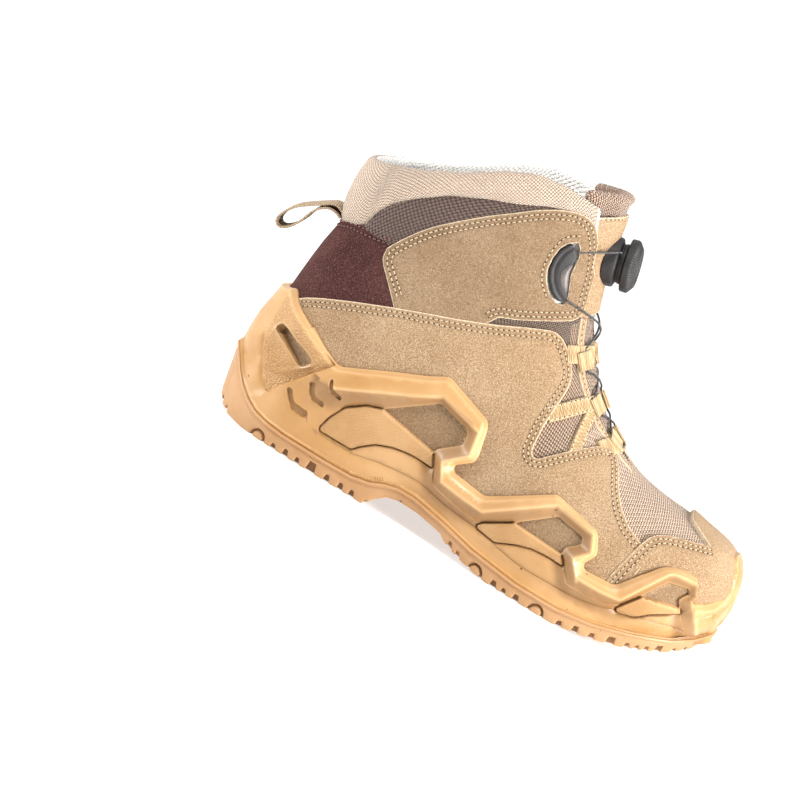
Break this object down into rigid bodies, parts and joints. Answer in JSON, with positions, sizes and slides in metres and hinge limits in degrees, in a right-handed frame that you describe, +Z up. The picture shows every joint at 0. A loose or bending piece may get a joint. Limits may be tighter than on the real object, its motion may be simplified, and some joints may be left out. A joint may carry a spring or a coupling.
{
  "type": "safety boot",
  "caption": "Ankle-high work boot for the right foot with a suede upper, padded collar and tongue, a wire lace wound by a dial, and a deep-lugged sole with a moulded cage up its sides.",
  "frame": {"origin": "centre of the boot's box, on the floor the sole stands on", "axes": "+X towards the toe, +Y towards the inner side of the foot, +Z up"},
  "size_m": [0.3164, 0.1162, 0.2097],
  "materials": {
    "sand_suede": "napped suede",
    "panel_suede": "napped suede",
    "tan_cage": "moulded, satin",
    "tan_rubber": "moulded, matte",
    "footbed_cloth": "knitted cloth",
    "tongue_mesh": "coarse woven mesh",
    "webbing": "woven webbing",
    "black_plastic": "satin",
    "lace_wire": "nylon-coated steel wire"
  },
  "bodies": {
    "root": {"upper": "sand_suede", "midsole_cage": "tan_cage", "outsole": "tan_rubber", "insole": "footbed_cloth", "tongue": "tongue_mesh", "tongue_panel": "panel_suede", "dial_base": "black_plastic", "dial_knob": "black_plastic", "guide_outer": "black_plastic", "guide_inner": "black_plastic", "strap_outer": "webbing", "strap_inner": "webbing", "lace_loop_outer_1": "webbing", "lace_loop_outer_2": "webbing", "lace_loop_outer_3": "webbing", "lace_loop_inner_1": "webbing", "lace_loop_inner_2": "webbing", "lace_loop_inner_3": "webbing", "pull_loop": "webbing", "lace_crossing_1": "lace_wire", "lace_crossing_2": "lace_wire", "lace_crossing_3": "lace_wire", "lace_bar": "lace_wire", "lace_dial_outer": "lace_wire", "lace_dial_inner": "lace_wire"}
  },
  "joints": []
}
